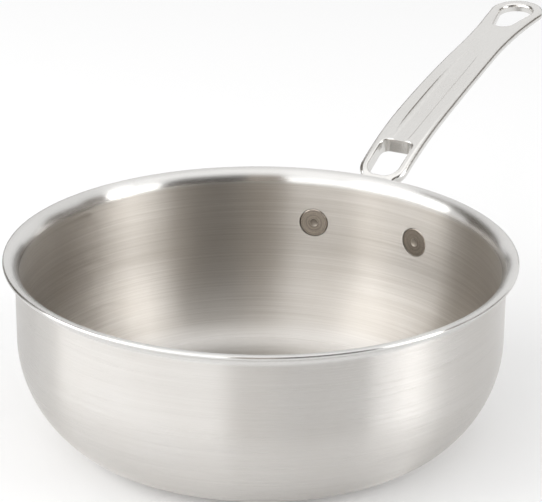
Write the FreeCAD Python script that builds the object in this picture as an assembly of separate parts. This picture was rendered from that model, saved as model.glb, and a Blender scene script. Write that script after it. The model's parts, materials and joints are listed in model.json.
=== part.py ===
import FreeCAD, Part
import math
import os

# Bowl: a straight wall over a corner of two arcs, with a lip that flares outwards
wall_diameter = 242.0
straight_wall = 33.4
shoulder_radius = 59.0
heel_radius = 37.5
corner_blend_angle = 45.0
lip_underside_radius = 4.85

# Bonded sheets of the bowl, from the outside in
outer_steel = 0.5
core_aluminium = 1.3
inner_steel = 0.5

# Rivets, with flat heads sunk flush in the inside wall
rivet_spacing = 60.0
rivet_head_diameter = 15.3
rivet_head_thickness = 1.2
rivet_head_proud = 0.15
rivet_head_bevel = 0.4
rivet_groove = 0.3
rivet_dimple_diameter = 4.2
rivet_dimple_depth = 0.5
rivet_shank_diameter = 6.5
rivet_dome_diameter = 12.0
rivet_dome_height = 3.0

# Flange that hugs the wall
flange_thickness = 4.0
flange_height = 24.0
flange_above_corner = 0.3
flange_edge_radius = 1.0
emboss_clearance = 0.1

# Handle seen from the side: distances out from the wall, and heights from the rim
handle_reach = 209.8
neck_start_out = 12.0
neck_start_rise = 0.8
dive_angle = 50.0
dive_radius = 15.0
root_angle = 27.5
grip_angle = 14.9
tip_angle = 6.4
rise_radius = 245.0
neck_thickness = 7.2
loop_thickness = 4.6

# Handle seen from above
grip_width = 28.3
grip_widest_out = 54.0
grip_side_radius = 2240.0
flare_radius = 300.0
loop_radius = 16.0

# Handle in cross-section: flat top and underside, with edges that round into each other
top_edge_radius = 2.4
neck_keel_share = 0.68
loop_keel_share = 0.86
quarter_round_share = 0.5523
grip_stations = 16
root_stations = 10

# Web under the root of the handle
neck_width = 20.0
web_inset = 0.6
web_start_share = 0.25
web_edge_radius = 2.0

# Fork slot behind the rim
slot_start_out = 11.1
slot_end_out = 35.8
slot_start_width = 18.0
slot_end_width = 18.9
slot_start_corner_radius = 6.5
slot_end_corner_radius = 4.5
slot_edge_radius = 0.8

# Channel along the top of the grip, cut straight under the arched top
channel_end_out = 135.0
channel_start_depth = 0.3
channel_floor_width = 5.6
channel_corner_radius = 3.6

# Hanging hole in the loop
hole_wide_radius = 9.7
hole_narrow_radius = 6.0
hole_length = 32.8
hole_tip_wall = 7.1
hole_edge_radius = 2.0

# How far a cutting shape runs past what it cuts
overrun = 12.0

# How near a picked edge lies to the place it is looked for
pick_distance = 0.3

origin = FreeCAD.Vector(0, 0, 0)
up = FreeCAD.Vector(0, 0, 1)
across = FreeCAD.Vector(0, 1, 0)
outward = FreeCAD.Vector(1, 0, 0)

wall_radius = wall_diameter / 2
sheet = outer_steel + core_aluminium + inner_steel
corner_step = shoulder_radius - heel_radius
corner_top = corner_step * math.sin(math.radians(corner_blend_angle)) + heel_radius
base_radius = wall_radius - shoulder_radius + corner_step * math.cos(math.radians(corner_blend_angle))
lip_start = corner_top + straight_wall
lip_centre_radius = wall_radius + lip_underside_radius
rim_height = lip_start + lip_underside_radius + sheet
inner_radius = wall_radius - sheet

rivet_height = corner_top + flange_above_corner + flange_height / 2
rivet_angle = math.degrees(math.asin(rivet_spacing / 2 / inner_radius))
head_face = inner_radius - rivet_head_proud
head_seat = head_face + rivet_head_thickness
emboss_radius = rivet_head_diameter / 2 + rivet_groove
flange_radius = wall_radius + flange_thickness
dome_seat = math.sqrt(flange_radius ** 2 - (rivet_dome_diameter / 2) ** 2)


def side_point(x, z):
    return FreeCAD.Vector(x, 0, z)


def heading(degrees):
    return side_point(math.cos(math.radians(degrees)), math.sin(math.radians(degrees)))


def line(start, end):
    return Part.LineSegment(start, end).toShape()


def arc_between(centre, start, end):
    """Arc of less than a half turn about a centre."""
    radius = (start - centre).Length
    middle = (start + end) / 2 - centre
    return Part.Arc(start, centre + middle * (radius / middle.Length), end).toShape()


def tangent_arc(start, degrees, end):
    """Arc in the side view that leaves start on a heading and ends at end."""
    chord = end - start
    turn = math.degrees(math.atan2(chord.z, chord.x)) - degrees
    turn = (turn + 180) % 360 - 180
    half_chord = chord.Length / 2 / math.cos(math.radians(turn / 2))
    return Part.Arc(start, start + heading(degrees + turn / 2) * half_chord, end).toShape()


def closed_face(edges):
    return Part.Face(Part.Wire(Part.__sortEdges__(edges)))


def cylinder_out(radius, start, end):
    """Cylinder that points out from the bowl's axis at the height of the rivets."""
    return Part.makeCylinder(radius, end - start, FreeCAD.Vector(start, 0, rivet_height), outward)


def at_rivet(shape, side):
    turned = shape.copy()
    turned.rotate(origin, up, side * rivet_angle)
    return turned


# Bowl


def bowl_line(depth):
    """Half section of the bowl at a depth inwards from its outside, from the axis to the lip."""
    heel_centre = side_point(base_radius, heel_radius)
    shoulder_centre = side_point(wall_radius - shoulder_radius, corner_top)
    lip_centre = side_point(lip_centre_radius, lip_start)
    blend = heading(-corner_blend_angle)
    floor_end = side_point(base_radius, depth)
    blend_point = heel_centre + blend * (heel_radius - depth)
    wall_foot = side_point(wall_radius - depth, corner_top)
    wall_top = side_point(wall_radius - depth, lip_start)
    lip_end = side_point(lip_centre_radius, lip_start + lip_underside_radius + depth)
    return [
        line(side_point(0, depth), floor_end),
        arc_between(heel_centre, floor_end, blend_point),
        arc_between(shoulder_centre, blend_point, wall_foot),
        line(wall_foot, wall_top),
        arc_between(lip_centre, wall_top, lip_end),
    ]


def lip_point(depth):
    return side_point(lip_centre_radius, lip_start + lip_underside_radius + depth)


def bowl_sheet(outer_depth, inner_depth, rim_edges):
    axis_edge = line(side_point(0, outer_depth), side_point(0, inner_depth))
    edges = bowl_line(outer_depth) + bowl_line(inner_depth) + rim_edges + [axis_edge]
    return closed_face(edges).revolve(origin, up, 360)


def rivet_seat(shape, outer_depth, inner_depth):
    """Press the sheet outwards round each rivet's head and bore it for the shank."""
    outer_step = sheet - outer_depth
    inner_step = sheet - inner_depth
    cup = cylinder_out(emboss_radius + outer_step, inner_radius - overrun, head_seat + outer_step)
    bowl_inside = Part.makeCylinder(wall_radius - inner_depth, rim_height, origin, up)
    cup = cup.cut(bowl_inside)
    recess = cylinder_out(emboss_radius + inner_step, inner_radius - overrun, head_seat + inner_step)
    shank = cylinder_out(rivet_shank_diameter / 2, inner_radius - overrun, flange_radius + overrun)
    for side in (-1, 1):
        shape = shape.fuse(at_rivet(cup, side))
        shape = shape.cut(at_rivet(recess, side))
        shape = shape.cut(at_rivet(shank, side))
    return shape.removeSplitter()


def outer_shell():
    rim = [line(lip_point(0), lip_point(outer_steel))]
    return rivet_seat(bowl_sheet(0, outer_steel, rim), 0, outer_steel)


def heat_core():
    inner_depth = outer_steel + core_aluminium
    rim = [line(lip_point(outer_steel), lip_point(inner_depth))]
    return rivet_seat(bowl_sheet(outer_steel, inner_depth, rim), outer_steel, inner_depth)


def inner_liner():
    """The inside sheet also turns over the rim and seals the core."""
    outer_depth = outer_steel + core_aluminium
    nose_middle = lip_point(sheet / 2) + outward * (sheet / 2)
    nose = Part.Arc(lip_point(sheet), nose_middle, lip_point(0)).toShape()
    rim = [nose, line(lip_point(0), lip_point(outer_depth))]
    return rivet_seat(bowl_sheet(outer_depth, sheet, rim), outer_depth, sheet)


# Rivets


def rivet(side):
    """Flat dimpled head inside, a plain shank and a domed head outside, turned in one piece."""
    head_radius = rivet_head_diameter / 2
    shank_radius = rivet_shank_diameter / 2
    dome_radius = rivet_dome_diameter / 2
    dimple_edge = side_point(head_face, rivet_dimple_diameter / 2)
    dimple_bottom = side_point(head_face + rivet_dimple_depth, 0)
    dome_top = side_point(dome_seat + rivet_dome_height, 0)
    dome_edge = side_point(dome_seat, dome_radius)
    bevel_start = side_point(head_face, head_radius - rivet_head_bevel)
    bevel_end = side_point(head_face + rivet_head_bevel, head_radius)
    head_back = side_point(head_seat, head_radius)
    shank_start = side_point(head_seat, shank_radius)
    shank_end = side_point(dome_seat, shank_radius)
    section = closed_face([
        tangent_arc(dimple_bottom, 90, dimple_edge),
        line(dimple_edge, bevel_start),
        line(bevel_start, bevel_end),
        line(bevel_end, head_back),
        line(head_back, shank_start),
        line(shank_start, shank_end),
        line(shank_end, dome_edge),
        tangent_arc(dome_top, 90, dome_edge),
        line(dome_top, dimple_bottom),
    ])
    turned = section.revolve(origin, outward, 360)
    turned.translate(up * rivet_height)
    return at_rivet(turned, side)


# Handle


def downward(degrees):
    """Unit vector square to a heading, on its lower side."""
    return heading(degrees - 90)


tip_out = wall_radius + handle_reach
loop_x = tip_out - loop_radius
neck_start = side_point(wall_radius + neck_start_out, rim_height + neck_start_rise)
dive_centre = neck_start + downward(root_angle) * dive_radius
dive_end = dive_centre - downward(dive_angle) * dive_radius
rise_centre = neck_start + downward(root_angle) * rise_radius
rise_end = rise_centre - downward(grip_angle) * rise_radius
grip_turn = math.sin(math.radians(grip_angle)) - math.sin(math.radians(tip_angle))
grip_radius = (tip_out - rise_end.x) / grip_turn
grip_centre = rise_end + downward(grip_angle) * grip_radius


def top_arc(x):
    """Centre and radius of the arc that the handle's top follows at a distance from the bowl's axis."""
    if x < neck_start.x:
        return dive_centre, dive_radius
    if x < rise_end.x:
        return rise_centre, rise_radius
    return grip_centre, grip_radius


def top_point(x):
    """Point on the middle of the handle's top, which dives in a straight line under the lip."""
    if x < dive_end.x:
        return dive_end + heading(dive_angle) * ((x - dive_end.x) / math.cos(math.radians(dive_angle)))
    centre, radius = top_arc(x)
    return side_point(x, centre.z + math.sqrt(radius ** 2 - (x - centre.x) ** 2))


def top_angle(x):
    """Slope of the handle's top in degrees."""
    if x < dive_end.x:
        return dive_angle
    away = top_point(x) - top_arc(x)[0]
    return math.degrees(math.atan2(-away.x, away.z))


def mirrored(point):
    return FreeCAD.Vector(point.x, -point.y, point.z)


side_centre = FreeCAD.Vector(wall_radius + grip_widest_out, grip_width / 2 - grip_side_radius, 0)
loop_centre = FreeCAD.Vector(loop_x, 0, 0)


def flare_centre_point():
    """Centre of the hollow arc that touches the grip's side and the loop from outside."""
    from_side = grip_side_radius + flare_radius
    from_loop = loop_radius + flare_radius
    between = loop_centre - side_centre
    along = (between.Length ** 2 + from_side ** 2 - from_loop ** 2) / (2 * between.Length)
    off = math.sqrt(from_side ** 2 - along ** 2)
    direction = between * (1 / between.Length)
    return side_centre + direction * along + up.cross(direction) * off


flare_centre = flare_centre_point()
flare_side_share = grip_side_radius / (grip_side_radius + flare_radius)
flare_loop_share = loop_radius / (loop_radius + flare_radius)
flare_start = side_centre + (flare_centre - side_centre) * flare_side_share
flare_end = loop_centre + (flare_centre - loop_centre) * flare_loop_share


def grip_half_width(x):
    return side_centre.y + math.sqrt(grip_side_radius ** 2 - (x - side_centre.x) ** 2)


# The fork's outer corners are concentric with the slot's, down to the width of the web
root_x = wall_radius + slot_start_out + slot_start_corner_radius
root_corner_y = slot_start_width / 2 - slot_start_corner_radius
root_corner_radius = grip_half_width(root_x) - root_corner_y
root_corner_drop = math.sqrt(root_corner_radius ** 2 - (neck_width / 2 - root_corner_y) ** 2)


def half_width(x):
    """Half the handle's width from above: web, round fork, barrelled grip, hollow flare, round loop."""
    if x < root_x - root_corner_drop:
        return neck_width / 2
    if x < root_x:
        return root_corner_y + math.sqrt(root_corner_radius ** 2 - (x - root_x) ** 2)
    if x < flare_start.x:
        return grip_half_width(x)
    if x < flare_end.x:
        return flare_centre.y - math.sqrt(flare_radius ** 2 - (x - flare_centre.x) ** 2)
    return math.sqrt(loop_radius ** 2 - (x - loop_x) ** 2)


def grip_share(x):
    """Share of the way from the neck to the loop."""
    return max((x - neck_start.x) / (loop_x - neck_start.x), 0)


def quarter_round(start, corner, end):
    curve = Part.BezierCurve()
    curve.setPoles([
        start,
        start + (corner - start) * quarter_round_share,
        end + (corner - end) * quarter_round_share,
        end,
    ])
    return curve.toShape()


def half_section(x, side):
    """Named points of one half of the cross-section at x, on the given side of the middle."""
    down = downward(top_angle(x))
    half = half_width(x)
    thickness = neck_thickness + (loop_thickness - neck_thickness) * grip_share(x)
    keel = half * (neck_keel_share + (loop_keel_share - neck_keel_share) * grip_share(x))
    top = top_point(x)

    def place(out, depth):
        return top + across * (side * out) + down * depth

    return {
        "top_middle": place(0, 0),
        "top_end": place(half - top_edge_radius, 0),
        "top_corner": place(half, 0),
        "side": place(half, top_edge_radius),
        "low_corner": place(half, thickness),
        "keel_end": place(keel, thickness),
        "keel_middle": place(0, thickness),
    }


def half_edges(points):
    return [
        quarter_round(points["top_end"], points["top_corner"], points["side"]),
        quarter_round(points["side"], points["low_corner"], points["keel_end"]),
    ]


def section(x):
    left = half_section(x, 1)
    right = half_section(x, -1)
    top = line(right["top_end"], left["top_end"])
    keel = line(left["keel_end"], right["keel_end"])
    return Part.Wire([top] + half_edges(left) + [keel] + half_edges(right)[::-1])


def grip():
    """Straight dive into the wall, loft to the middle of the loop, then the loop's round end."""
    root_step = (root_x - dive_end.x) / root_stations
    grip_step = (loop_x - root_x) / grip_stations
    places = [dive_end.x + root_step * index for index in range(root_stations)]
    places += [root_x + grip_step * index for index in range(grip_stations)]
    shape = Part.makeLoft([section(x) for x in places + [loop_x]], True, False)
    points = half_section(loop_x, 1)
    top = line(points["top_middle"], points["top_end"])
    keel = line(points["keel_end"], points["keel_middle"])
    middle = line(points["keel_middle"], points["top_middle"])
    face = closed_face([top] + half_edges(points) + [keel, middle])
    end = face.revolve(points["top_middle"], downward(top_angle(loop_x)), 180)
    dive_run = (dive_end.x + neck_thickness - wall_radius + overrun) / math.cos(math.radians(dive_angle))
    dive = Part.Face(section(dive_end.x)).extrude(heading(dive_angle + 180) * dive_run)
    return dive.fuse([shape, end])


def root_web():
    """Web from the slot's near end down the flange, rounded along its lower edges."""
    inside = wall_radius - overrun
    slot_start = top_point(wall_radius + slot_start_out)
    slot_depth = neck_thickness / math.cos(math.radians(root_angle))
    slot_upper = slot_start - up * (slot_depth * web_start_share)
    edge = slot_start - up * slot_depth
    dive_middle = dive_end + downward(dive_angle) * (neck_thickness / 2)
    to_inside = (dive_middle.x - inside) / math.cos(math.radians(dive_angle))
    dive_inside = dive_middle + heading(dive_angle + 180) * to_inside
    to_flange = (edge.x - flange_radius) / math.cos(math.radians(root_angle))
    foot = edge + heading(root_angle + 180) * to_flange - up * to_flange
    foot_inside = dive_inside - up * flange_thickness
    face = closed_face([
        line(dive_inside, dive_middle),
        line(dive_middle, slot_upper),
        line(slot_upper, edge),
        tangent_arc(edge, root_angle + 180, foot),
        line(foot, foot_inside),
        line(foot_inside, dive_inside),
    ])
    web_half = neck_width / 2 - web_inset
    face.translate(across * -web_half)
    shape = face.extrude(across * (web_half * 2))
    low_edges = [low_edge for low_edge in shape.Edges if isinstance(low_edge.Curve, Part.Circle)]
    return shape.makeFillet(web_edge_radius, low_edges)


def flange():
    """Plate with round ends, bent round the wall and rounded along its outer edge."""
    half_height = flange_height / 2
    end_y = (wall_radius + flange_thickness / 2) * math.sin(math.radians(rivet_angle))
    low = rivet_height - half_height
    high = rivet_height + half_height
    outline = closed_face([
        line(FreeCAD.Vector(0, -end_y, low), FreeCAD.Vector(0, end_y, low)),
        Part.Arc(
            FreeCAD.Vector(0, end_y, low),
            FreeCAD.Vector(0, end_y + half_height, rivet_height),
            FreeCAD.Vector(0, end_y, high),
        ).toShape(),
        line(FreeCAD.Vector(0, end_y, high), FreeCAD.Vector(0, -end_y, high)),
        Part.Arc(
            FreeCAD.Vector(0, -end_y, high),
            FreeCAD.Vector(0, -end_y - half_height, rivet_height),
            FreeCAD.Vector(0, -end_y, low),
        ).toShape(),
    ])
    plate = outline.extrude(outward * (flange_radius + overrun))
    plate = plate.common(Part.makeCylinder(flange_radius, rim_height, origin, up))
    plate = plate.cut(Part.makeCylinder(wall_radius - overrun, rim_height, origin, up))
    outer_faces = [face for face in plate.Faces if flange_radius - face.BoundBox.XMax < flange_edge_radius]
    outer_face = max(outer_faces, key=lambda face: face.Area)
    return plate.makeFillet(flange_edge_radius, outer_face.OuterWire.Edges)


def slot_cut():
    """Fork slot, cut straight down, with rounder corners beside the rim."""
    start = wall_radius + slot_start_out
    end = wall_radius + slot_end_out
    low = top_point(start).z - neck_thickness - overrun
    high = top_point(end).z + overrun
    corners = [
        FreeCAD.Vector(start, -slot_start_width / 2, low),
        FreeCAD.Vector(end, -slot_end_width / 2, low),
        FreeCAD.Vector(end, slot_end_width / 2, low),
        FreeCAD.Vector(start, slot_start_width / 2, low),
    ]
    face = Part.Face(Part.makePolygon(corners + corners[:1]))
    block = face.extrude(up * (high - low))
    upright = [edge for edge in block.Edges if edge.BoundBox.ZLength > overrun]
    start_edges = [edge for edge in upright if edge.BoundBox.XMax < start + slot_start_corner_radius / 2]
    block = block.makeFillet(slot_start_corner_radius, start_edges)
    upright = [edge for edge in block.Edges if edge.BoundBox.ZLength > overrun]
    end_edges = [edge for edge in upright if edge.BoundBox.XMin > end - slot_end_corner_radius / 2]
    return block.makeFillet(slot_end_corner_radius, end_edges)


def channel_cut():
    """Straight trough with a flat floor; the arched top leaves it open to a boat shape."""
    start = top_point(wall_radius + slot_end_out) - up * channel_start_depth
    run = top_point(wall_radius + channel_end_out) - start
    floor_half = channel_floor_width / 2
    wide_half = floor_half + channel_corner_radius
    wall_top = channel_corner_radius + overrun

    def section_point(y, z):
        return FreeCAD.Vector(-overrun, y, z)

    left_floor = section_point(floor_half, 0)
    right_floor = section_point(-floor_half, 0)
    left_side = section_point(wide_half, channel_corner_radius)
    right_side = section_point(-wide_half, channel_corner_radius)
    left_top = section_point(wide_half, wall_top)
    right_top = section_point(-wide_half, wall_top)
    face = closed_face([
        line(right_floor, left_floor),
        arc_between(section_point(floor_half, channel_corner_radius), left_floor, left_side),
        line(left_side, left_top),
        line(left_top, right_top),
        line(right_top, right_side),
        arc_between(section_point(-floor_half, channel_corner_radius), right_side, right_floor),
    ])
    trough = face.extrude(outward * (run.Length + overrun * 2))
    trough.rotate(origin, across, -math.degrees(math.atan2(run.z, run.x)))
    trough.translate(start)
    return trough


def hole_cut():
    """Egg-shaped hole, wide towards the tip, square to the loop's top."""
    wide_x = tip_out - hole_tip_wall - hole_wide_radius
    narrow_x = tip_out - hole_tip_wall - hole_length + hole_narrow_radius
    lean = math.acos((hole_wide_radius - hole_narrow_radius) / (wide_x - narrow_x))
    touch = FreeCAD.Vector(-math.cos(lean), math.sin(lean), 0)
    wide_touch = FreeCAD.Vector(wide_x, 0, 0) + touch * hole_wide_radius
    narrow_touch = FreeCAD.Vector(narrow_x, 0, 0) + touch * hole_narrow_radius
    face = closed_face([
        Part.Arc(
            wide_touch,
            FreeCAD.Vector(wide_x + hole_wide_radius, 0, 0),
            mirrored(wide_touch),
        ).toShape(),
        line(mirrored(wide_touch), mirrored(narrow_touch)),
        Part.Arc(
            mirrored(narrow_touch),
            FreeCAD.Vector(narrow_x - hole_narrow_radius, 0, 0),
            narrow_touch,
        ).toShape(),
        line(narrow_touch, wide_touch),
    ])
    middle = top_point(tip_out - hole_tip_wall - hole_length / 2)
    depth = loop_thickness + overrun
    face.translate(up * (middle.z - depth))
    block = face.extrude(up * depth * 2)
    block.rotate(middle, across, -top_angle(middle.x))
    return block


def cut_rims(shape, cutter):
    """Edges of the top face that a cut has left, all round the cut's mouth."""
    mouths = []
    for edge in shape.Edges:
        middle = edge.valueAt((edge.FirstParameter + edge.LastParameter) / 2)
        on_cut = cutter.Shells[0].distToShape(Part.Vertex(middle))[0] < pick_distance
        on_top = top_point(middle.x).z - middle.z < pick_distance
        if on_cut and on_top:
            mouths.append(edge)
    return mouths


def rounded_cut(shape, cutter, radius):
    """Cut right through and round the edge that the cut leaves on top."""
    cut = shape.cut(cutter)
    return cut.makeFillet(radius, cut_rims(cut, cutter))


def handle():
    shape = rounded_cut(grip(), slot_cut(), slot_edge_radius)
    shape = rounded_cut(shape, hole_cut(), hole_edge_radius)
    wall = Part.makeCylinder(wall_radius, rim_height + overrun, origin, up)
    root = root_web().fuse(flange()).cut(wall)
    shape = shape.cut(channel_cut()).cut(wall).fuse(root)
    pocket = cylinder_out(
        emboss_radius + sheet + emboss_clearance,
        wall_radius - overrun,
        head_seat + sheet + emboss_clearance,
    )
    shank = cylinder_out(rivet_shank_diameter / 2, wall_radius - overrun, flange_radius + overrun)
    spot_face = cylinder_out(rivet_dome_diameter / 2, dome_seat, flange_radius + overrun)
    for side in (-1, 1):
        for cutter in (pocket, shank, spot_face):
            shape = shape.cut(at_rivet(cutter, side))
    return shape.removeSplitter()


os.makedirs("parts", exist_ok=True)
nodes = {
    "inner_steel_liner": inner_liner(),
    "aluminium_core": heat_core(),
    "outer_steel_shell": outer_shell(),
    "handle": handle(),
    "rivet_left": rivet(1),
    "rivet_right": rivet(-1),
}
for name, shape in nodes.items():
    shape.exportStep("parts/" + name + ".step")
    print(name, shape.ShapeType, len(shape.Solids), shape.isValid(), round(shape.Volume, 1))
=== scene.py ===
import json
import math

import bmesh
import bpy
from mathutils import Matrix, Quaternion, Vector

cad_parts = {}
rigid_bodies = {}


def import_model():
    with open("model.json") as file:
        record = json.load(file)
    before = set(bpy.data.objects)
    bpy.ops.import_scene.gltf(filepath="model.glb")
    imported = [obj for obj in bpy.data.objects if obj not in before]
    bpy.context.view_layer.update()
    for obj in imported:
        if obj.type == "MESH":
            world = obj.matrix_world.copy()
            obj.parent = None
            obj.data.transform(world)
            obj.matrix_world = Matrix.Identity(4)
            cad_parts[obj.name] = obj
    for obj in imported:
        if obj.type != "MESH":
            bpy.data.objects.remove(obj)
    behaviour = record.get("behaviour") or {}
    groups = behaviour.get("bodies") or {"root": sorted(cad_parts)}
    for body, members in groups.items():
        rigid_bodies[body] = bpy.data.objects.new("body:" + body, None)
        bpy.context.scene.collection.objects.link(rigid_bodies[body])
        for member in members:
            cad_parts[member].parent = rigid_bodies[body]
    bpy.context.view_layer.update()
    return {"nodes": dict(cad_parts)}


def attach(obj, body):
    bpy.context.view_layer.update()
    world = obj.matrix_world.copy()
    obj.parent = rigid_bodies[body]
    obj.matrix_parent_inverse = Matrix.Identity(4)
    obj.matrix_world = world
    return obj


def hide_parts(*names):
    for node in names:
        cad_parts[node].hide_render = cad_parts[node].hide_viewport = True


for leftover in list(bpy.data.objects):  # a new file may open with a cube, a lamp and a camera
    bpy.data.objects.remove(leftover)

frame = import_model()
print("frame loaded:", ", ".join(sorted(frame["nodes"])))


# node helpers

def feed(tree, socket, value):
    if isinstance(value, bpy.types.NodeSocket):
        tree.links.new(value, socket)
    else:
        socket.default_value = value


def addNode(tree, kind, inputs=None, **settings):
    made = tree.nodes.new(kind)
    for key, value in settings.items():
        setattr(made, key, value)
    for key, value in (inputs or {}).items():
        feed(tree, made.inputs[key], value)
    return made


def calc(tree, operation, first, second=0.0):
    return addNode(tree, "ShaderNodeMath", {0: first, 1: second}, operation=operation).outputs[0]


def vectorCalc(tree, operation, first, second=(0.0, 0.0, 0.0)):
    return addNode(tree, "ShaderNodeVectorMath", {0: first, 1: second}, operation=operation).outputs[0]


def combine(tree, x=0.0, y=0.0, z=0.0):
    return addNode(tree, "ShaderNodeCombineXYZ", {"X": x, "Y": y, "Z": z}).outputs[0]


def axisDistance(tree, place):  # the flat part of a place, and how long it is
    flat = vectorCalc(tree, "MULTIPLY", place, (1.0, 1.0, 0.0))
    away = addNode(tree, "ShaderNodeVectorMath", {0: flat}, operation="LENGTH").outputs["Value"]
    return flat, away


def noise(tree, place, scale, detail):
    return addNode(tree, "ShaderNodeTexNoise", {"Vector": place, "Scale": scale, "Detail": detail}).outputs[0]


def ramp(tree, value, limits, ends=(0.0, 1.0)):
    reach = {"Value": value, "From Min": limits[0], "From Max": limits[1], "To Min": ends[0],
             "To Max": ends[1]}
    return addNode(tree, "ShaderNodeMapRange", reach).outputs[0]


def mixColour(tree, factor, first, second):  # a Mix node's sockets go by number: 6 and 7 take colours
    return addNode(tree, "ShaderNodeMix", {0: factor, 6: first, 7: second}, data_type="RGBA").outputs[2]


def mixValue(tree, factor, first, second):  # 2 and 3 take values
    return addNode(tree, "ShaderNodeMix", {0: factor, 2: first, 3: second}, data_type="FLOAT").outputs[0]


# finishes

grainLimits = (0.3, 0.7)  # noise outside these is all dark or all light


def steelFinish(name):
    finish = bpy.data.materials.new(name)
    finish.use_nodes = True
    tree = finish.node_tree
    shader = tree.nodes["Principled BSDF"]
    shader.inputs["Metallic"].default_value = 1.0
    where = addNode(tree, "ShaderNodeTexCoord").outputs["Object"]
    return finish, tree, shader, where


def addBump(tree, shader, look, ridge):
    depth = {"Strength": look["bump"], "Distance": look["bumpDepth"], "Height": ridge}
    feed(tree, shader.inputs["Normal"], addNode(tree, "ShaderNodeBump", depth).outputs[0])


def ringGrain(tree, around, along, run, count, detail):  # lines round the axis, all over the bowl
    turn = addNode(tree, "ShaderNodeVectorMath", {0: around, "Scale": run}, operation="SCALE").outputs[0]
    rise = combine(tree, z=calc(tree, "MULTIPLY", along, count))
    return noise(tree, vectorCalc(tree, "ADD", turn, rise), 1.0, detail)


def spunFinish(name, look):  # brushed round the pan's axis, polished on the lip, with painted light on the floor
    finish, tree, shader, where = steelFinish(name)
    flat, away = axisDistance(tree, where)
    height = addNode(tree, "ShaderNodeSeparateXYZ", {0: where}).outputs["Z"]
    around = vectorCalc(tree, "NORMALIZE", flat)
    along = calc(tree, "ADD", away, height)
    fine = ringGrain(tree, around, along, look["lineRun"], look["lineCount"], look["lineDetail"])
    band = ringGrain(tree, around, along, look["bandRun"], look["bandCount"], look["bandDetail"])
    haze = noise(tree, where, look["hazeScale"], look["hazeDetail"])
    grain = mixValue(tree, look["lineShare"], band, fine)
    polish = ramp(tree, height, look["lipHeights"])
    inFloor = ramp(tree, height, look["floorHeights"], (1.0, 0.0))
    tone = mixColour(tree, ramp(tree, grain, grainLimits), look["dark"], look["light"])
    stained = calc(tree, "MULTIPLY", ramp(tree, haze, look["hazeLimits"]), look["haze"])
    tone = mixColour(tree, stained, tone, look["stain"])
    # painted light: the pan's floor takes a lighter, flatter colour in place of light that falls there; its
    # lower roughness is the floor's own finish
    tone = mixColour(tree, calc(tree, "MULTIPLY", inFloor, look["floorLightShare"]), tone, look["floor"])
    feed(tree, shader.inputs["Base Color"], mixColour(tree, polish, tone, look["lip"]))
    rough = ramp(tree, grain, grainLimits, look["rough"])
    rough = calc(tree, "ADD", rough, calc(tree, "MULTIPLY", haze, look["hazeRough"]))
    rough = calc(tree, "ADD", rough, calc(tree, "MULTIPLY", inFloor, look["floorRough"]))
    feed(tree, shader.inputs["Roughness"], mixValue(tree, polish, rough, look["lipRough"]))
    shader.inputs["Anisotropic"].default_value = look["stretch"]
    shader.inputs["Anisotropic Rotation"].default_value = look["stretchTurn"]
    tangent = addNode(tree, "ShaderNodeTangent", direction_type="RADIAL", axis="Z").outputs[0]
    feed(tree, shader.inputs["Tangent"], tangent)
    ridge = calc(tree, "ADD", fine, calc(tree, "MULTIPLY", band, look["bandRidge"]))
    addBump(tree, shader, look, calc(tree, "MULTIPLY", ridge, calc(tree, "SUBTRACT", 1.0, polish)))
    return finish


linerLook = {
    "dark": (0.485, 0.45, 0.408, 1.0), "light": (0.73, 0.704, 0.668, 1.0), "stain": (0.52, 0.475, 0.415, 1.0),
    "lineRun": 1.2, "lineCount": 16000.0, "lineDetail": 1.0, "lineShare": 0.7,
    "bandRun": 1.5, "bandCount": 900.0, "bandDetail": 2.0, "bandRidge": 0.6,
    "hazeScale": 28.0, "hazeDetail": 4.0, "hazeLimits": (0.35, 0.75), "haze": 0.25, "hazeRough": 0.03,
    "rough": (0.34, 0.38), "stretch": 1.0, "stretchTurn": 0.25, "bump": 1.0, "bumpDepth": 0.000035,
    "lip": (0.69, 0.68, 0.665, 1.0), "lipRough": 0.26, "lipHeights": (0.0855, 0.0875),
    # the floor colour is painted light, lighter than the brushed wall
    "floor": (0.71, 0.695, 0.675, 1.0), "floorLightShare": 0.8, "floorRough": -0.15,
    "floorHeights": (0.003, 0.014),
}
linerSteel = spunFinish("linerSteel", linerLook)

shellLook = dict(linerLook)  # the outside is smoother and keeps one tone down to the base
shellLook.update({
    "dark": (0.592, 0.573, 0.549, 1.0), "light": (0.682, 0.663, 0.639, 1.0), "haze": 0.15,
    "rough": (0.25, 0.31), "bumpDepth": 0.00003, "floorLightShare": 0.0, "floorRough": 0.0,
})
shellSteel = spunFinish("shellSteel", shellLook)


def castFinish(name, look):  # strokes along the handle
    finish, tree, shader, where = steelFinish(name)
    stroke = addNode(tree, "ShaderNodeMapping", {"Vector": where, "Scale": look["strokeScale"]}).outputs[0]
    fine = noise(tree, stroke, 1.0, look["strokeDetail"])
    haze = noise(tree, where, look["hazeScale"], look["hazeDetail"])
    tone = mixColour(tree, ramp(tree, fine, grainLimits), look["dark"], look["light"])
    stained = calc(tree, "MULTIPLY", ramp(tree, haze, look["hazeLimits"]), look["haze"])
    feed(tree, shader.inputs["Base Color"], mixColour(tree, stained, tone, look["stain"]))
    rough = ramp(tree, fine, grainLimits, look["rough"])
    rough = calc(tree, "ADD", rough, calc(tree, "MULTIPLY", haze, look["hazeRough"]))
    feed(tree, shader.inputs["Roughness"], rough)
    addBump(tree, shader, look, fine)
    return finish


handleLook = {
    "dark": (0.69, 0.678, 0.658, 1.0), "light": (0.72, 0.708, 0.688, 1.0), "stain": (0.62, 0.60, 0.575, 1.0),
    "strokeScale": (60.0, 1500.0, 1500.0), "strokeDetail": 3.0,
    "hazeScale": 45.0, "hazeDetail": 5.0, "hazeLimits": (0.4, 0.8), "haze": 0.2, "hazeRough": 0.08,
    "rough": (0.20, 0.23), "bump": 0.05, "bumpDepth": 0.000005,
}
handleSteel = castFinish("handleSteel", handleLook)

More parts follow.
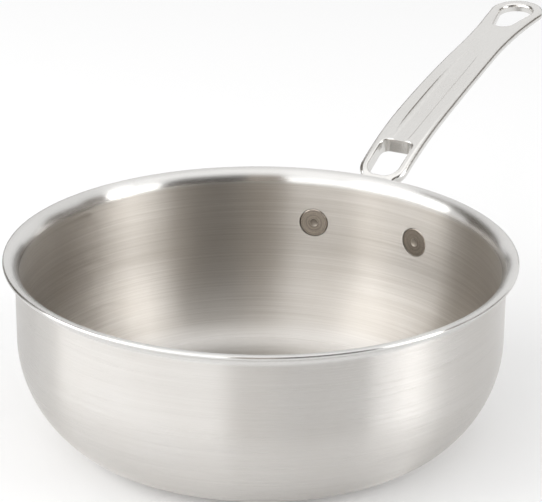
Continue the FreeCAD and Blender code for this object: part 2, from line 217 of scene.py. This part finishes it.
coreLook = dict(handleLook)  # mill finish, hidden between the sheets
coreLook.update({
    "dark": (0.70, 0.70, 0.69, 1.0), "light": (0.82, 0.82, 0.81, 1.0), "stain": (0.62, 0.62, 0.61, 1.0),
    "strokeScale": (90.0, 900.0, 900.0), "hazeScale": 30.0, "haze": 0.3, "hazeRough": 0.1,
    "rough": (0.35, 0.5), "bump": 0.2, "bumpDepth": 0.00004,
})
coreAluminium = castFinish("coreAluminium", coreLook)

ringMark = "turnRadius"  # distance from a rivet's own axis, stored on its mesh


def turnedFinish(name, look):  # rings about each rivet's own middle
    finish, tree, shader, where = steelFinish(name)
    away = addNode(tree, "ShaderNodeAttribute", attribute_name=ringMark).outputs["Fac"]
    rings = {"W": calc(tree, "MULTIPLY", away, look["ringCount"]), "Scale": 1.0, "Detail": look["ringDetail"]}
    fine = addNode(tree, "ShaderNodeTexNoise", rings, noise_dimensions="1D").outputs[0]
    haze = noise(tree, where, look["hazeScale"], look["hazeDetail"])
    punched = ramp(tree, away, look["punchRadii"], (1.0, 0.0))  # the dimple is dull, and its colour is darkened as painted shade in the recess
    tone = mixColour(tree, ramp(tree, fine, grainLimits), look["dark"], look["light"])
    tone = mixColour(tree, calc(tree, "MULTIPLY", haze, look["haze"]), tone, look["stain"])
    feed(tree, shader.inputs["Base Color"], mixColour(tree, punched, tone, look["dimpleShade"]))
    rough = ramp(tree, fine, grainLimits, look["rough"])
    feed(tree, shader.inputs["Roughness"], mixValue(tree, punched, rough, look["punchRough"]))
    addBump(tree, shader, look, fine)
    return finish


rivetLook = {
    "dark": (0.47, 0.425, 0.375, 1.0), "light": (0.74, 0.68, 0.61, 1.0), "stain": (0.44, 0.39, 0.335, 1.0),
    "ringCount": 1300.0, "ringDetail": 2.0, "hazeScale": 160.0, "hazeDetail": 4.0, "haze": 0.4,
    "rough": (0.18, 0.26), "bump": 0.25, "bumpDepth": 0.00003,
    # the dimple's dark colour is painted shade; its higher roughness is a real dull finish
    "dimpleShade": (0.33, 0.295, 0.255, 1.0), "punchRough": 0.6, "punchRadii": (0.0018, 0.0023),
}
rivetSteel = turnedFinish("rivetSteel", rivetLook)
print("finishes ready")


# geometry helpers

quarterTurn = math.pi / 2
seamGap = 1e-6  # points of a turned section nearer than this are one
pointGap = 1e-7  # and so are points of a finished mesh, in metres


def newGeometryTree(name, sizes):  # a named input for each size, whole numbers for counts
    tree = bpy.data.node_groups.new(name, "GeometryNodeTree")
    for label, size in sizes.items():
        kind = "NodeSocketInt" if isinstance(size, int) else "NodeSocketFloat"
        tree.interface.new_socket(label, in_out="INPUT", socket_type=kind)
    tree.interface.new_socket("Finish", in_out="INPUT", socket_type="NodeSocketMaterial")
    tree.interface.new_socket("Geometry", in_out="OUTPUT", socket_type="NodeSocketGeometry")
    given = tree.nodes.new("NodeGroupInput").outputs
    return tree, given


def closeTree(tree, given, shape):
    real = addNode(tree, "GeometryNodeRealizeInstances", {"Geometry": shape}).outputs[0]
    painted = addNode(tree, "GeometryNodeSetMaterial", {"Geometry": real, "Material": given["Finish"]})
    output = tree.nodes.new("NodeGroupOutput")
    tree.links.new(painted.outputs[0], output.inputs[0])


def grow(name, tree, sizes, finish, sharpAngle):
    holder = bpy.data.objects.new(name + "Holder", bpy.data.meshes.new(name + "Holder"))
    bpy.context.scene.collection.objects.link(holder)
    modifier = holder.modifiers.new("grow", "NODES")
    modifier.node_group = tree
    for item in tree.interface.items_tree:
        if item.in_out == "INPUT":
            modifier[item.identifier] = finish if item.name == "Finish" else sizes[item.name]
    ready = holder.evaluated_get(bpy.context.evaluated_depsgraph_get())
    mesh = bpy.data.meshes.new_from_object(ready)
    holder.modifiers.remove(modifier)
    bpy.data.objects.remove(holder)
    mesh.name = name
    work = bmesh.new()
    work.from_mesh(mesh)
    bmesh.ops.remove_doubles(work, verts=work.verts, dist=pointGap)
    bmesh.ops.recalc_face_normals(work, faces=work.faces)
    openEdges = sum(not edge.is_manifold for edge in work.edges)
    volume = round(work.calc_volume(signed=True) * 1e6, 2)
    print(name, "faces", len(work.faces), "open edges", openEdges, "volume cm3", volume)
    work.to_mesh(mesh)
    work.free()
    mesh.shade_smooth()
    mesh.set_sharp_from_angle(angle=sharpAngle)
    piece = bpy.data.objects.new(name, mesh)
    bpy.context.scene.collection.objects.link(piece)
    return piece


def moved(tree, shape, place, turn=(0.0, 0.0, 0.0), scale=(1.0, 1.0, 1.0)):
    change = {"Geometry": shape, "Translation": place, "Rotation": turn, "Scale": scale}
    return addNode(tree, "GeometryNodeTransform", change).outputs[0]


def lineCurve(tree, startX, startY, endX, endY):
    ends = {"Start": combine(tree, startX, startY), "End": combine(tree, endX, endY)}
    return addNode(tree, "GeometryNodeCurvePrimitiveLine", ends).outputs[0]


def arcCurve(tree, steps, centreX, centreY, radius, startAngle, sweepAngle):
    bend = {"Resolution": steps, "Radius": radius, "Start Angle": startAngle, "Sweep Angle": sweepAngle}
    arc = addNode(tree, "GeometryNodeCurveArc", bend, mode="RADIUS").outputs[0]
    return moved(tree, arc, combine(tree, centreX, centreY))


def bowCurve(tree, steps, start, middle, end):
    bend = {"Resolution": steps, "Start": combine(tree, *start), "Middle": combine(tree, *middle),
            "End": combine(tree, *end)}
    return addNode(tree, "GeometryNodeCurveQuadraticBezier", bend).outputs[0]


def joinAll(tree, pieces):
    joined = tree.nodes.new("GeometryNodeJoinGeometry")
    for piece in reversed(pieces):  # the last link made comes first
        tree.links.new(piece, joined.inputs[0])
    return joined.outputs[0]


def turnSection(tree, section, radius, segments):  # section drawn as distance from the axis and height
    back = combine(tree, calc(tree, "MULTIPLY", radius, -1.0))
    profile = moved(tree, section, back, scale=(1.0, -1.0, 1.0))
    circle = {"Resolution": segments, "Radius": radius}
    ring = addNode(tree, "GeometryNodeCurvePrimitiveCircle", circle, mode="RADIUS").outputs[0]
    swept = addNode(tree, "GeometryNodeCurveToMesh", {"Curve": ring, "Profile Curve": profile}).outputs[0]
    return addNode(tree, "GeometryNodeMergeByDistance", {"Geometry": swept, "Distance": seamGap}).outputs[0]


def bothSides(tree, shape, angle):  # the same shape left and right of the handle
    points = addNode(tree, "GeometryNodePoints", {"Count": 2}).outputs[0]
    index = addNode(tree, "GeometryNodeInputIndex").outputs[0]
    side = calc(tree, "SUBTRACT", calc(tree, "MULTIPLY", index, 2.0), 1.0)  # -1 and 1
    turn = combine(tree, z=calc(tree, "MULTIPLY", side, angle))
    pair = {"Points": points, "Instance": shape, "Rotation": turn}
    placed = addNode(tree, "GeometryNodeInstanceOnPoints", pair).outputs[0]
    return addNode(tree, "GeometryNodeRealizeInstances", {"Geometry": placed}).outputs[0]


# bowl: both steel sheets are one section turned about the axis

rivetPlace = {"height": 0.065, "angle": math.radians(14.64)}
bowlSizes = {
    "Wall Radius": 0.121, "Straight Wall": 0.0334, "Shoulder Radius": 0.059, "Heel Radius": 0.0375,
    "Blend Angle": math.radians(45.0), "Lip Radius": 0.00485, "Segments": 224, "Arc Steps": 30,
}
linerSizes = dict(bowlSizes)  # depths go inwards from the outside of the wall
linerSizes.update({
    "Outer Depth": 0.0018, "Inner Depth": 0.0023, "Nose Radius": 0.00115,
    "Seat Height": rivetPlace["height"], "Seat Angle": rivetPlace["angle"], "Seat Radius": 0.00795,
    "Post Length": 0.02, "Post Sides": 64,  # the posts that cut the seats
})
shellSizes = dict(bowlSizes)
shellSizes.update({"Outer Depth": 0.0, "Inner Depth": 0.0005})
bowlSharpAngle = math.radians(30.0)


def sheetLine(tree, given, depth):  # one face of a sheet, from the axis to the top of the lip
    wall, shoulder, heel = given["Wall Radius"], given["Shoulder Radius"], given["Heel Radius"]
    blend, lip, steps = given["Blend Angle"], given["Lip Radius"], given["Arc Steps"]
    step = calc(tree, "SUBTRACT", shoulder, heel)
    cornerTop = calc(tree, "ADD", calc(tree, "MULTIPLY", step, calc(tree, "SINE", blend)), heel)
    shoulderX = calc(tree, "SUBTRACT", wall, shoulder)
    heelX = calc(tree, "ADD", shoulderX, calc(tree, "MULTIPLY", step, calc(tree, "COSINE", blend)))
    lipStart = calc(tree, "ADD", cornerTop, given["Straight Wall"])
    lipX = calc(tree, "ADD", wall, lip)
    lipTop = calc(tree, "ADD", lipStart, lip)
    face = calc(tree, "SUBTRACT", wall, depth)
    heelRadius = calc(tree, "SUBTRACT", heel, depth)
    heelTurn = calc(tree, "SUBTRACT", quarterTurn, blend)
    shoulderRadius = calc(tree, "SUBTRACT", shoulder, depth)
    shoulderStart = calc(tree, "MULTIPLY", blend, -1.0)
    lipRadius = calc(tree, "ADD", lip, depth)
    pieces = [
        lineCurve(tree, 0.0, depth, heelX, depth),
        arcCurve(tree, steps, heelX, heel, heelRadius, -quarterTurn, heelTurn),
        arcCurve(tree, steps, shoulderX, cornerTop, shoulderRadius, shoulderStart, blend),
        lineCurve(tree, face, cornerTop, face, lipStart),
        arcCurve(tree, steps, lipX, lipStart, lipRadius, math.pi, -quarterTurn),
    ]
    return pieces, lipX, lipTop


def cutSeats(tree, given, shape):  # round seats for the rivet heads
    barrel = {"Vertices": given["Post Sides"], "Radius": given["Seat Radius"], "Depth": given["Post Length"]}
    post = addNode(tree, "GeometryNodeMeshCylinder", barrel).outputs[0]
    place = combine(tree, given["Wall Radius"], 0.0, given["Seat Height"])
    posts = bothSides(tree, moved(tree, post, place, (0.0, quarterTurn, 0.0)), given["Seat Angle"])
    cut = addNode(tree, "GeometryNodeMeshBoolean", {"Mesh 1": shape}, operation="DIFFERENCE")
    tree.links.new(posts, cut.inputs["Mesh 2"])
    return cut.outputs[0]


def sheetTree(name, sizes):
    tree, given = newGeometryTree(name, sizes)
    outer, lipX, lipTop = sheetLine(tree, given, given["Outer Depth"])
    inner = sheetLine(tree, given, given["Inner Depth"])[0]
    outerTop = calc(tree, "ADD", lipTop, given["Outer Depth"])
    innerTop = calc(tree, "ADD", lipTop, given["Inner Depth"])
    if "Nose Radius" in sizes:  # the inside sheet turns over the rim
        nose = given["Nose Radius"]
        noseY = calc(tree, "ADD", lipTop, nose)
        rim = [
            lineCurve(tree, lipX, outerTop, lipX, lipTop),
            arcCurve(tree, given["Arc Steps"], lipX, noseY, nose, -quarterTurn, math.pi),
        ]
    else:
        rim = [lineCurve(tree, lipX, outerTop, lipX, innerTop)]
    back = addNode(tree, "GeometryNodeReverseCurve", {"Curve": joinAll(tree, inner)}).outputs[0]
    section = joinAll(tree, outer + rim + [back])
    shape = turnSection(tree, section, given["Wall Radius"], given["Segments"])
    if "Seat Radius" in sizes:
        shape = cutSeats(tree, given, shape)
    closeTree(tree, given, shape)
    return tree


liner = grow("liner", sheetTree("linerSheet", linerSizes), linerSizes, linerSteel, bowlSharpAngle)
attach(liner, "root")
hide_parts("inner_steel_liner")

shell = grow("shell", sheetTree("shellSheet", shellSizes), shellSizes, shellSteel, bowlSharpAngle)
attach(shell, "root")
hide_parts("outer_steel_shell")
print("bowl ready")


# rivets: one section turned about its own axis, set twice

rivetSizes = {
    "Head Radius": 0.00765, "Head Face": 0.11855, "Head Thickness": 0.0012, "Bevel": 0.0004,
    "Dimple Radius": 0.0021, "Dimple Depth": 0.0005, "Dimple Bow": 0.6, "Shank Radius": 0.00325,
    "Dome Radius": 0.006, "Dome Seat": 0.124856, "Dome Height": 0.003, "Dome Bow": 0.625,
    "Rivet Height": rivetPlace["height"], "Rivet Angle": rivetPlace["angle"], "Segments": 72, "Arc Steps": 12,
}
rivetSharpAngle = math.radians(20.0)  # low, so that the flat head ends crisply at its dimple


def rivetTree(sizes):
    tree, given = newGeometryTree("rivetPair", sizes)
    head, face, shank = given["Head Radius"], given["Head Face"], given["Shank Radius"]
    dimple, dome, seat = given["Dimple Radius"], given["Dome Radius"], given["Dome Seat"]
    steps = given["Arc Steps"]
    back = calc(tree, "ADD", face, given["Head Thickness"])
    bevelX = calc(tree, "SUBTRACT", head, given["Bevel"])
    bevelY = calc(tree, "ADD", face, given["Bevel"])
    dimpleX = calc(tree, "MULTIPLY", dimple, given["Dimple Bow"])
    dimpleY = calc(tree, "ADD", face, given["Dimple Depth"])
    domeX = calc(tree, "MULTIPLY", dome, given["Dome Bow"])
    top = calc(tree, "ADD", seat, given["Dome Height"])
    section = joinAll(tree, [
        bowCurve(tree, steps, (0.0, dimpleY), (dimpleX, dimpleY), (dimple, face)),
        lineCurve(tree, dimple, face, bevelX, face),
        lineCurve(tree, bevelX, face, head, bevelY),
        lineCurve(tree, head, bevelY, head, back),
        lineCurve(tree, head, back, shank, back),
        lineCurve(tree, shank, back, shank, seat),
        lineCurve(tree, shank, seat, dome, seat),
        bowCurve(tree, steps, (dome, seat), (domeX, top), (0.0, top)),
    ])
    turned = turnSection(tree, section, shank, given["Segments"])
    away = axisDistance(tree, addNode(tree, "GeometryNodeInputPosition").outputs[0])[1]
    mark = {"Geometry": turned, "Name": ringMark, "Value": away}
    marked = addNode(tree, "GeometryNodeStoreNamedAttribute", mark, data_type="FLOAT").outputs[0]
    lying = moved(tree, marked, combine(tree, z=given["Rivet Height"]), (0.0, quarterTurn, 0.0))
    closeTree(tree, given, bothSides(tree, lying, given["Rivet Angle"]))
    return tree


rivets = grow("rivets", rivetTree(rivetSizes), rivetSizes, rivetSteel, rivetSharpAngle)
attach(rivets, "root")
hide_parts("rivet_left", "rivet_right")
print("rivets ready")


# handle and core keep their solids and get a finish

for nodeName, finish in (("handle", handleSteel), ("aluminium_core", coreAluminium)):
    frame["nodes"][nodeName].material_slots[0].material = finish
print("handle and core dressed")


# studio

studio = {
    "eye": (-0.966363, -0.525566, 0.528390), "aim": (0.002490, -0.004257, 0.093716), "roll": -0.4544,
    "lens": 159.41, "sensor": 36.0, "clip": (0.01, 50.0), "lampAim": (0.0, 0.0, 0.06),
    "worldFill": 0.57, "floorHalf": 6.0, "floorTone": 0.9, "floorLift": 0.1,
}
scene = bpy.context.scene
scene.view_settings.view_transform = "Standard"


def aimed(start, end, roll):  # turn of a camera or lamp that looks from start to end
    gaze = Vector(end) - Vector(start)
    return gaze.to_track_quat("-Z", "Y") @ Quaternion((0.0, 0.0, 1.0), math.radians(roll))


camera = bpy.data.objects.new("camera", bpy.data.cameras.new("camera"))
scene.collection.objects.link(camera)
camera.data.sensor_fit = "HORIZONTAL"
camera.data.sensor_width = studio["sensor"]
camera.data.lens = studio["lens"]
camera.data.clip_start, camera.data.clip_end = studio["clip"]
camera.location = studio["eye"]
camera.rotation_mode = "QUATERNION"
camera.rotation_quaternion = aimed(studio["eye"], studio["aim"], -studio["roll"])
scene.camera = camera


def seenRays(tree):  # camera, mirror and glass rays meet the white studio
    rays = tree.nodes.new("ShaderNodeLightPath").outputs
    seen = calc(tree, "MAXIMUM", rays["Is Camera Ray"], rays["Is Glossy Ray"])
    return calc(tree, "MAXIMUM", seen, rays["Is Transmission Ray"])


world = bpy.data.worlds.new("studioWorld")
scene.world = world
world.use_nodes = True
worldTree = world.node_tree
backdrop = worldTree.nodes["Background"]
backdrop.inputs["Color"].default_value = (1.0, 1.0, 1.0, 1.0)
feed(worldTree, backdrop.inputs["Strength"],
     ramp(worldTree, seenRays(worldTree), (0.0, 1.0), (studio["worldFill"], 1.0)))

half = studio["floorHalf"]
floorMesh = bpy.data.meshes.new("floor")
corners = [(-half, -half, 0.0), (half, -half, 0.0), (half, half, 0.0), (-half, half, 0.0)]
floorMesh.from_pydata(corners, [], [(0, 1, 2, 3)])
floor = bpy.data.objects.new("floor", floorMesh)
scene.collection.objects.link(floor)
floorFinish = bpy.data.materials.new("paleFloor")
floorFinish.use_nodes = True
floorTree = floorFinish.node_tree
floorTree.nodes.clear()
tone = studio["floorTone"]
matte = addNode(floorTree, "ShaderNodeBsdfDiffuse", {"Color": (tone, tone, tone, 1.0)}).outputs[0]
lift = calc(floorTree, "MULTIPLY", seenRays(floorTree), studio["floorLift"])
glow = addNode(floorTree, "ShaderNodeEmission", {"Strength": lift}).outputs[0]
both = addNode(floorTree, "ShaderNodeAddShader", {0: matte, 1: glow}).outputs[0]
addNode(floorTree, "ShaderNodeOutputMaterial", {"Surface": both})
floorMesh.materials.append(floorFinish)


# lamps and warm grey cards round the pan, at bearings in degrees from the camera's side, to its right above 0

lamps = {
    "leftBox": {"bearing": -80.0, "away": 2.2, "height": 1.15, "size": (2.2, 1.9), "lean": 15.0, "glow": 2.6},
    "leftWing": {"bearing": -32.5, "away": 2.3, "height": 0.9, "size": (1.65, 1.6), "lean": 0.0, "glow": 1.4},
    "rightStrip": {"bearing": 66.5, "away": 2.2, "height": 0.85, "size": (1.0, 1.6), "lean": -10.0,
                   "glow": 2.2},
    "rightEdge": {"bearing": 77.5, "away": 2.2, "height": 0.95, "size": (0.42, 1.8), "lean": -16.0,
                  "glow": 4.5},
    "topBox": {"bearing": 0.0, "away": 0.05, "height": 2.3, "size": (2.4, 2.4), "lean": 0.0, "glow": 0.42},
}
cards = {
    "frontCard": {"from": -13.0, "to": 8.0, "slant": 0.0, "low": 0.0, "high": 4.2, "tone": 0.35},
    "darkCard": {"from": 8.0, "to": 52.0, "slant": 0.0, "low": 0.0, "high": 4.2, "tone": 0.05},
    "leftCard": {"from": -152.0, "to": -118.0, "slant": 0.0, "low": 0.0, "high": 3.6, "tone": 0.12},
    "rightCard": {"from": 78.0, "to": 96.0, "slant": 8.0, "low": 0.45, "high": 2.2, "tone": 0.2},
    "sideCard": {"from": 96.0, "to": 130.0, "slant": 0.0, "low": 0.35, "high": 1.4, "tone": 0.15},
    "handleCard": {"from": 187.0, "to": 199.0, "slant": 0.0, "low": 0.2, "high": 0.8, "tone": 0.1},
    "backCard": {"from": 150.0, "to": 214.0, "slant": 0.0, "low": 0.0, "high": 0.45, "tone": 0.05},
}
cardSet = {"away": 2.6, "steps": 12, "colour": (1.0, 0.87, 0.72, 1.0)}
toCamera = math.atan2(studio["eye"][1], studio["eye"][0])


def bearingPoint(bearing, away, height):
    turn = toCamera + math.radians(bearing)
    return Vector((math.cos(turn) * away, math.sin(turn) * away, height))


for name, lamp in lamps.items():
    light = bpy.data.lights.new(name, "AREA")
    light.shape = "RECTANGLE"
    light.size, light.size_y = lamp["size"]
    light.energy = lamp["glow"] * math.pi * light.size * light.size_y  # the same glow at any size
    box = bpy.data.objects.new(name, light)
    scene.collection.objects.link(box)
    box.location = bearingPoint(lamp["bearing"], lamp["away"], lamp["height"])
    box.rotation_mode = "QUATERNION"
    box.rotation_quaternion = aimed(box.location, studio["lampAim"], lamp["lean"])


def cardMesh(name, card):  # a strip of an upright drum round the pan
    steps = cardSet["steps"]
    slide = card["slant"] * (card["high"] - card["low"])  # degrees that the top edge is turned by
    corners = []
    for step in range(steps + 1):
        bearing = card["from"] + (card["to"] - card["from"]) * step / steps
        corners.append(bearingPoint(bearing, cardSet["away"], card["low"]))
        corners.append(bearingPoint(bearing + slide, cardSet["away"], card["high"]))
    mesh = bpy.data.meshes.new(name)
    mesh.from_pydata(corners, [], [(2 * i, 2 * i + 2, 2 * i + 3, 2 * i + 1) for i in range(steps)])
    return mesh


for name, card in cards.items():
    board = bpy.data.objects.new(name, cardMesh(name, card))
    scene.collection.objects.link(board)
    finish = bpy.data.materials.new(name)
    finish.use_nodes = True
    cardTree = finish.node_tree
    cardTree.nodes.clear()
    shade = {"Color": cardSet["colour"], "Strength": card["tone"]}
    glow = addNode(cardTree, "ShaderNodeEmission", shade).outputs[0]
    addNode(cardTree, "ShaderNodeOutputMaterial", {"Surface": glow})
    board.data.materials.append(finish)
    board.visible_camera = False  # the cards show in the metal only
    board.visible_diffuse = False
    board.visible_shadow = False
print("studio ready")
